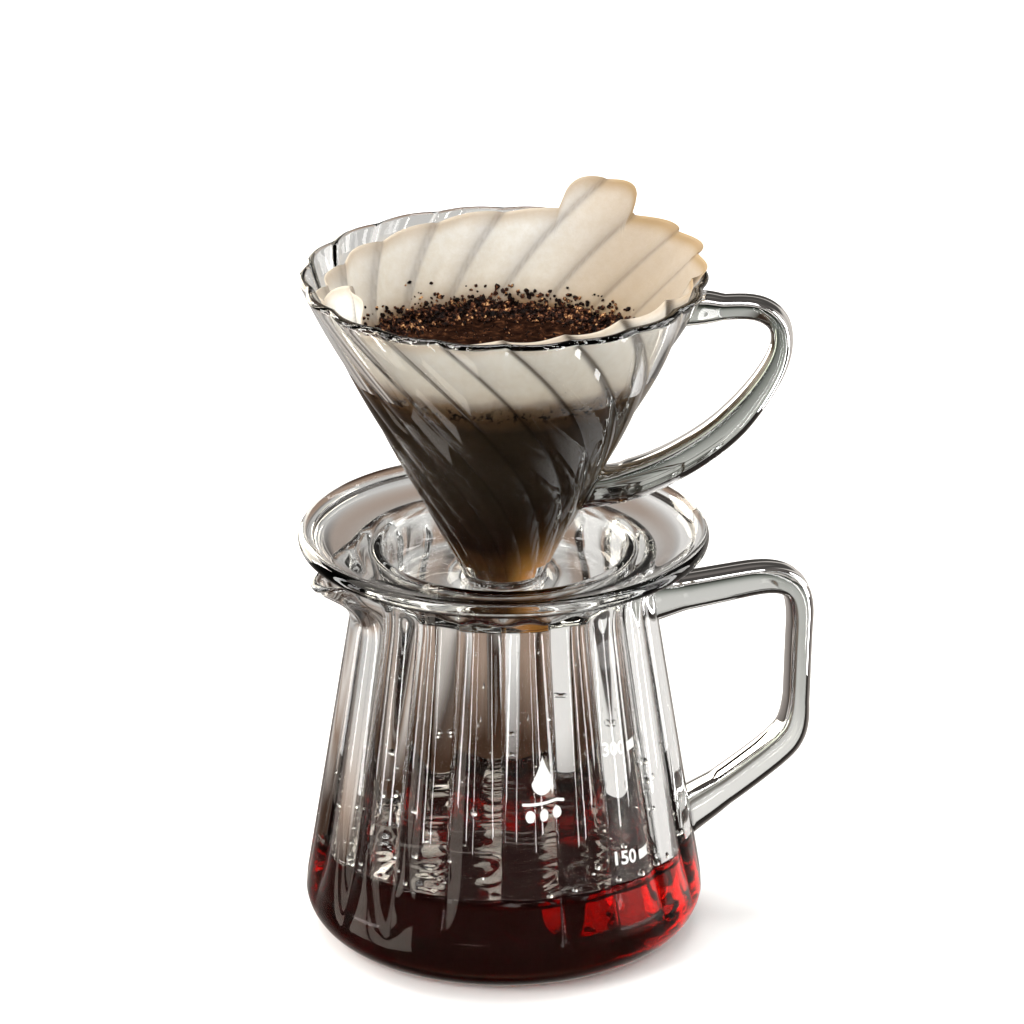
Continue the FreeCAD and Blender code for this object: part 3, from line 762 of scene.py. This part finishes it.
def icosahedron():
    """(corners, faces) of an icosahedron of radius 1, its faces turned outward."""
    golden = (1 + 5 ** 0.5) / 2
    corner = []
    for a in (-1, 1):
        for b in (-golden, golden):
            corner += [(0, a, b), (a, b, 0), (b, 0, a)]
    corner = np.array(corner, float) / math.hypot(1, golden)
    apart = np.linalg.norm(corner[:, None] - corner[None], axis=2)
    near = apart < 2 / math.hypot(1, golden) + 1e-6
    faces = []
    for i, j, k in itertools.combinations(range(12), 3):
        if near[i, j] and near[j, k] and near[i, k]:
            normal = np.cross(corner[j] - corner[i], corner[k] - corner[i])
            faces.append((i, j, k) if np.dot(normal, corner[i]) > 0 else (k, j, i))
    return corner, np.array(faces)


def crumbs(places, sizes):
    """Points and faces of small broken crumbs at places, one per size."""
    corner, corner_faces = icosahedron()
    points, faces = [], []
    for n, (place, size) in enumerate(zip(places, sizes)):
        stretch = random.uniform(0.6, 1.25, 3)
        axes, _ = np.linalg.qr(random.normal(size=(3, 3)))
        crumb = corner * random.uniform(0.75, 1.2, (12, 1)) * stretch * size
        points.append(crumb @ axes * np.sign(np.linalg.det(axes)) + place)
        faces.append(corner_faces + 12 * n)
    return np.concatenate(points), np.concatenate(faces).tolist()


def make_crust(material):
    """Uneven ring of grounds on the paper above the brew."""
    angle = directions(DRIPPER_FLUTES * 20)
    inset = PAPER_THICKNESS + 0.02

    def uneven(seed):
        ring = round_ring(5, angle, seed)
        return np.array([noise.fractal(Vector(p), 1.0, 2.0, 4) for p in ring])

    height = 2.3 + 1.5 * uneven(0.0)
    width = 3.2 + 1.8 * uneven(9.0)
    profile = [(0, -1), (0, 0.1), (0.02, 0.6), (0.05, 1), (0.25, 0.72), (0.6, 0.4), (1, 0.12), (1, -1)]
    rings = []
    for inward, up in spline(profile, 22):
        z = BREW_LEVEL + up * height
        ring = round_ring(paper_surface(angle, z, inset) - inward * width, angle, z)
        if 0 < inward < 1:
            ring[:, 2] += [0.5 * noise.noise(Vector(p) * 0.9) for p in ring]
        rings.append(ring)
    crust = skin("crust_ring", rings, material, loop=True)
    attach(crust, "filter")
    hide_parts("grounds_crust")
    make_crumbs(material, inset, angle, height, width)


def make_crumbs(material, inset, angle, height, width):
    """Loose crumbs: on the crust of that height and width, stuck to the paper, and floating."""
    on_crust = 2000
    turn = random.uniform(0, FULL_TURN, on_crust)
    inward = np.abs(random.normal(0, 2.6, on_crust))
    low = np.interp(turn, angle, height)
    wide = np.interp(turn, angle, width)
    up = np.where(inward < wide, low * np.clip(1 - inward / wide, 0, 1) ** 1.2, 0.05)
    size = random.uniform(0.2, 0.85, on_crust)
    radius = paper_surface(turn, BREW_LEVEL + up, inset) - inward - 0.8 * size
    place = round_ring(radius, turn, BREW_LEVEL + up + 0.1)

    stuck = 1400
    stuck_turn = random.uniform(0, FULL_TURN, stuck)
    stuck_z = BREW_LEVEL + 1 + np.abs(random.normal(0, 2.3, stuck))
    stuck_size = random.uniform(0.15, 0.75, stuck)
    stuck_r = paper_surface(stuck_turn, stuck_z, inset) - 0.75 * stuck_size
    stuck_place = round_ring(stuck_r, stuck_turn, stuck_z)

    floating = 500
    float_turn = random.uniform(0, FULL_TURN, floating)
    float_r = 36 * np.sqrt(random.uniform(0.05, 0.95, floating))
    float_place = round_ring(float_r, float_turn, BREW_LEVEL + 0.15)
    float_size = random.uniform(0.12, 0.42, floating)

    points, faces = crumbs(np.concatenate([place, stuck_place, float_place]),
                           np.concatenate([size, stuck_size, float_size]))
    loose = mesh_object("loose_crumbs", points, faces, material, is_smooth=False)
    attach(loose, "filter")


# ---- print -------------------------------------------
def wrap_print(name, points, faces, direction, height, material):
    """Flat outline faces, in millimetres, laid on the server's wall about a direction and height."""
    points = np.array(points, float)
    z = height + points[:, 1]
    turn = math.radians(direction)
    angle = turn + points[:, 0] / server_radius(height, turn)
    ring = round_ring(server_radius(z, angle) + PRINT_LIFT, angle, z)
    decal = mesh_object(name, ring, faces, material, is_smooth=False)
    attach(decal, "server")
    return decal


def grid_fill(inside, width, height, step):
    """Flat sheet made of small cells whose centres lie inside an outline."""
    columns, rows = int(width / step), int(height / step)
    points = []
    faces = []
    index = {}

    def corner(i, j):
        if (i, j) not in index:
            index[i, j] = len(points)
            points.append((i * step - width / 2, j * step - height / 2))
        return index[i, j]

    for i in range(columns):
        for j in range(rows):
            if inside((i + 0.5) * step - width / 2, (j + 0.5) * step - height / 2):
                faces.append((corner(i, j), corner(i + 1, j), corner(i + 1, j + 1), corner(i, j + 1)))
    return points, faces


def figures(label):
    """Flat outline faces of a printed number, ending left of 0 and centred on height 0."""
    text = bpy.data.curves.new("figures", "FONT")
    text.body = label
    text.size = 4.6
    text.align_x = "RIGHT"
    text.align_y = "CENTER"
    text.offset = 0.12
    holder = bpy.data.objects.new("figures", text)
    bpy.context.scene.collection.objects.link(holder)
    flat = bpy.data.meshes.new_from_object(holder)
    points = [(v.co.x - 2.2, v.co.y) for v in flat.vertices]
    faces = [tuple(p.vertices) for p in flat.polygons]
    bpy.data.objects.remove(holder)
    return points, faces


def front_outline(x, y):
    """Whether a point is in the front print: a drop over a line, with three beans below it."""
    if y < 5.0:
        width = 2.9 * math.sqrt(max(0.0, 1 - ((y - 5.0) / 3.0) ** 2))
    else:
        width = 2.9 * max(0, (11.5 - y) / 6.5) ** 1.25
    drop = abs(x) < width and y > 2.0
    line = abs(y) < 0.32 and abs(x) < 5.2
    to_bean = min(abs(abs(x) - 3.4), abs(x))
    bean = (to_bean / 1.1) ** 2 + ((y + 3.0) / 1.5) ** 2 < 1
    return line or drop or bean


def make_print(material):
    """Volume marks, each a number and a short bar, on the right, and the print on the front."""
    scale_points, scale_faces = [], []
    for label, z in (("150", 31.0), ("300", 58.0)):
        bar_points, bar_faces = grid_fill(lambda x, y: True, 4.2, 2.6, 0.3)
        bar_points = [(x + 1.0, y) for x, y in bar_points]
        for points, faces in (figures(label), (bar_points, bar_faces)):
            start = len(scale_points)
            scale_points += [(x, y + z) for x, y in points]
            scale_faces += [tuple(start + i for i in face) for face in faces]
    scale = wrap_print("scale_print", scale_points, scale_faces, -57.0, 0.0, material)
    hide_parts("volume_scale")
    points, faces = grid_fill(front_outline, 13.0, 24.0, 0.14)
    front = wrap_print("front_print", points, faces, -90.8, 48.5, material)
    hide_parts("front_mark")


# ---- surroundings ------------------------------------
def backward(amount):
    """Vector pointing away from where the camera stands, level with the floor."""
    turn = math.radians(VIEW_AZIMUTH)
    return Vector((-math.sin(turn), math.cos(turn), 0)) * amount


def rightward(amount):
    """Vector to the right as seen from where the camera stands."""
    turn = math.radians(VIEW_AZIMUTH)
    return Vector((math.cos(turn), math.sin(turn), 0)) * amount


def add_area(name, place, size, power, colour):
    """Area light with its width and height in metres, turned to the middle of the server."""
    light = bpy.data.lights.new(name, "AREA")
    light.shape = "RECTANGLE"
    light.size, light.size_y = size
    light.energy = power
    light.color = colour
    obj = bpy.data.objects.new(name, light)
    obj.location = place
    obj.rotation_euler = (Vector((0, 0, 0.09)) - Vector(place)).to_track_quat("-Z", "Y").to_euler()
    bpy.context.scene.collection.objects.link(obj)
    return obj


def far_share(tree, space, low, high):
    """0 on the near side of the room and 1 on its far side, by position or direction."""
    away = (backward(1.0) + rightward(0.25)).normalized()
    return tree.passed(tree.vector_math("DOT_PRODUCT", tree.place(space), away), low, high)


def pale_material():
    """Matt pale floor, faintly mottled."""
    material, tree, shader = new_material("pale_floor")
    mottle = tree.noise(5.0, detail=4.0)
    colour = tree.ramp(mottle, [(0.3, (0.86, 0.855, 0.845)), (0.7, (0.9, 0.895, 0.885))])
    tree.fill(shader, {"Base Color": colour, "Roughness": 0.75})
    return material


def glow_material(name, colour, strength):
    """Even light of a colour, an output or a plain one, with no colour of its own."""
    material, tree, shader = new_material(name)
    tree.fill(shader, {"Base Color": (0, 0, 0), "Emission Color": colour, "Emission Strength": strength})
    return material


def table_material():
    """What the glass sees of the table: warm and pale straight behind, with lighter and darker
    sectors to both sides, open and bright further off, dark on the near side, with painted shadow
    under the set and a painted darker ring round it."""
    material, tree, shader = new_material("room_floor")
    place = tree.axes()
    turn = tree.math("ARCTAN2", place["Y"], place["X"])
    turn = tree.math("SUBTRACT", math.radians(90 + VIEW_AZIMUTH), turn)
    share = tree.math("MULTIPLY_ADD", turn, 1 / FULL_TURN, 0.5)
    warm, pale, dark = (0.38, 0.27, 0.205), (0.86, 0.79, 0.73), (0.045, 0.028, 0.02)
    sectors = [
        (-100, dark), (-80, pale), (-72, warm), (-64, pale), (-50, dark), (-43, pale), (-38, warm),
        (-34, pale), (-29, warm), (-27, dark), (-24, pale), (-22, dark), (-19, dark), (-17.5, pale),
        (-16, dark), (-13, dark), (-10, warm), (9, warm), (12, dark), (15, dark), (16.5, pale),
        (18, dark), (22, dark), (25, warm), (30, warm), (35, dark), (40, warm), (44, dark),
        (52, warm), (65, dark), (77, pale), (100, dark),
    ]
    colour = tree.ramp(share, [(0.5 + angle / 360, tone) for angle, tone in sectors])
    reach = tree.vector_math("LENGTH", tree.place())
    right = tree.vector_math("DOT_PRODUCT", tree.place(), rightward(1.0))
    shade = (0.025, 0.016, 0.012)
    # Painted shadow: dark under the set and a darker ring round it; the near side is dark as well.
    zones = [
        (tree.passed(reach, 0.2, 0.3), (0.62, 0.605, 0.585)),
        (tree.passed(reach, 0.165, 0.11), (0.06, 0.032, 0.02)),
        (tree.passed(right, 0.03, 0.06), (0.95, 0.92, 0.89)),
        (tree.passed(far_share(tree, "Object", -0.05, 0.02), 1.0, 0.0), shade),
        (tree.passed(reach, 0.056, 0.05), shade),
    ]
    for zone, tone in zones:
        colour = tree.mix(zone, colour, tone)
    tree.fill(shader, {"Base Color": (0, 0, 0), "Specular IOR Level": 0.0, "Emission Color": colour,
                       "Emission Strength": 1.0})
    return material


def add_plane(name, z, material):
    """Wide level plane that isn't part of the object."""
    plane = mesh_object(name, [(5000 * x, 5000 * y, z) for x, y in SQUARE], [(0, 1, 2, 3)], material)
    return plane


def show_only(obj, in_gloss, through_glass):
    """Hide an object from the camera and from soft light, and say where it does show."""
    obj.visible_camera = False
    obj.visible_diffuse = False
    obj.visible_shadow = False
    obj.visible_glossy = in_gloss
    obj.visible_transmission = through_glass


def make_world():
    """Pale to the camera; to glass and gloss a warm room, dim on the near side."""
    world = bpy.data.worlds.new("studio")
    tree = Shading(world)
    near_to_far = [(0.0, (0.014, 0.011, 0.009)), (0.62, (0.03, 0.025, 0.022)),
                   (0.8, (0.25, 0.22, 0.2)), (0.97, (0.6, 0.56, 0.52))]
    colour = tree.ramp(far_share(tree, "Generated", -1.0, 1.0), near_to_far)
    belt = tree.ramp(tree.axes("Generated")["Z"], [(0.1, 0.0), (0.2, 0.88), (0.55, 0.88), (0.75, 0.45)])
    room = tree.fill(tree.nodes["Background"], {
        "Color": tree.mix(belt, colour, (0.0, 0.0, 0.0)), "Strength": 1.0})
    pale = tree.add("ShaderNodeBackground", {"Color": (0.9, 0.9, 0.9)})
    ray = tree.nodes.new("ShaderNodeLightPath").outputs
    soft = tree.math("MAXIMUM", ray["Is Camera Ray"], ray["Is Diffuse Ray"])
    surface = tree.mix_shaders(soft, room["Background"], pale["Background"])
    tree.fill(tree.nodes["World Output"], {"Surface": surface})
    bpy.context.scene.world = world


def add_card(name, turn, distance, width, low, high, strength, colour, panes=False, gloss_only=False):
    """Glowing upright strip, or window of four panes, that only gloss and glass see, facing the
    axis. turn is in degrees from straight behind the object, clockwise from above."""
    angle = math.radians(90 + VIEW_AZIMUTH - turn)
    centre = Vector((math.cos(angle), math.sin(angle), 0)) * distance
    side = Vector((-math.sin(angle), math.cos(angle), 0)) * width / 2
    columns, rows, half, tall = ((0,), (0.5,), 1.0, 0.5)
    if panes:
        columns, rows, half, tall = ((-0.53, 0.53), (0.24, 0.76), 0.47, 0.23)
    points = []
    for i in columns:
        for j in rows:
            middle = centre + side * i + Vector((0, 0, low + (high - low) * j))
            for x, z in SQUARE:
                points.append(tuple(middle + side * half * x + Vector((0, 0, (high - low) * tall * z))))
    faces = [tuple(range(k, k + 4)) for k in range(0, len(points), 4)]
    card = mesh_object(name, points, faces, glow_material(name, colour, strength))
    show_only(card, in_gloss=True, through_glass=not gloss_only)


def add_low_window():
    """Small glowing sheet by the flange that only shows mirrored in the cone's front."""
    lift = Vector((0, 0, 106))
    places = ((-46, 30), (-22, 30), (-22, 45), (-46, 45))
    corners = [rightward(x) - backward(y) + lift for x, y in places]
    glow = glow_material("low_window", (1.0, 0.93, 0.85), 1.6)
    sheet = mesh_object("low_window", corners, [(0, 1, 2, 3)], glow)
    show_only(sheet, in_gloss=True, through_glass=False)


def make_studio():
    """Floor, room, windows and lights."""
    make_world()
    floor = add_plane("floor", -0.3, pale_material())
    floor.visible_transmission = False
    floor.visible_glossy = False
    table = add_plane("room_floor", -0.5, table_material())
    show_only(table, in_gloss=False, through_glass=True)

    white, warm_white, lamp = (1.0, 0.98, 0.96), (1.0, 0.93, 0.8), (1.0, 0.98, 0.95)
    add_card("card_left", -95, 500, 70, 0, 420, 5.0, white, panes=True)
    add_card("card_right", 92, 450, 200, 0, 420, 3.0, white, panes=True)
    add_card("card_front_right", 140, 480, 45, 0, 260, 2.2, lamp, panes=True)
    add_card("card_glow", -41, 380, 225, 30, 330, 8.5, warm_white)
    add_card("card_glow_side", -16, 380, 60, 60, 300, 2.4, warm_white)
    for turn, width, strength in ((-160, 4, 14), (-143, 7, 20), (-120, 10, 16), (-92, 14, 9),
                                  (156, 5, 14), (138, 8, 18), (112, 12, 14), (90, 16, 8)):
        name = f"strip_{turn % 360}"
        add_card(name, turn, 150, width, 24, 330, strength, (1.0, 0.99, 0.97), gloss_only=True)
    add_card("window_front_left", -109, 190, 160, -70, 60, 1.4, (1.0, 0.88, 0.76), True, True)
    add_low_window()

    add_area("key_window", (-1.3, -0.7, 1.0), (0.45, 1.0), 17, lamp)
    add_area("side_window", (1.5, 0.3, 0.7), (0.3, 1.2), 7, lamp)
    add_area("top_fill", (0.0, 0.4, 1.9), (1.3, 1.3), 30, (1.0, 0.99, 0.97))
    front = add_area("front_fill", (-0.5, -1.6, 0.9), (1.2, 1.2), 14, lamp)
    front.visible_glossy = False
    add_area("back_window", (-0.9, 1.2, 0.55), (0.4, 0.8), 16, (1.0, 0.97, 0.93))


def make_camera():
    """Long lens at the photograph's angle."""
    elevation, distance = math.radians(22.0), 2.0
    outward = Vector((0, 0, math.sin(elevation))) - backward(math.cos(elevation))
    target = Vector((0, 0, 0.1067)) + rightward(0.002)
    camera = bpy.data.cameras.new("camera")
    camera.sensor_width = 36
    camera.lens = 293
    camera.clip_end = 50
    obj = bpy.data.objects.new("camera", camera)
    obj.location = target + outward * distance
    obj.rotation_euler = (-outward).to_track_quat("-Z", "Y").to_euler()
    bpy.context.scene.collection.objects.link(obj)
    bpy.context.scene.camera = obj


make_camera()
make_studio()
server_glass = glass_material("server_glass_look")
dripper_glass = glass_material("dripper_glass_look")
make_server(server_glass)
make_server_handle(server_glass)
make_coffee(coffee_material())
make_drops(server_glass)
make_print(enamel_material())
make_cone(dripper_glass)
make_flange(dripper_glass)
make_dripper_handle(dripper_glass)
make_paper(paper_material())
grounds = grounds_material()
make_slurry(brew_material())
make_crust(grounds)
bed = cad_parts["coffee_bed"]
bed.data.materials.clear()
bed.data.materials.append(grounds)
bpy.context.scene.view_settings.view_transform = "Standard"
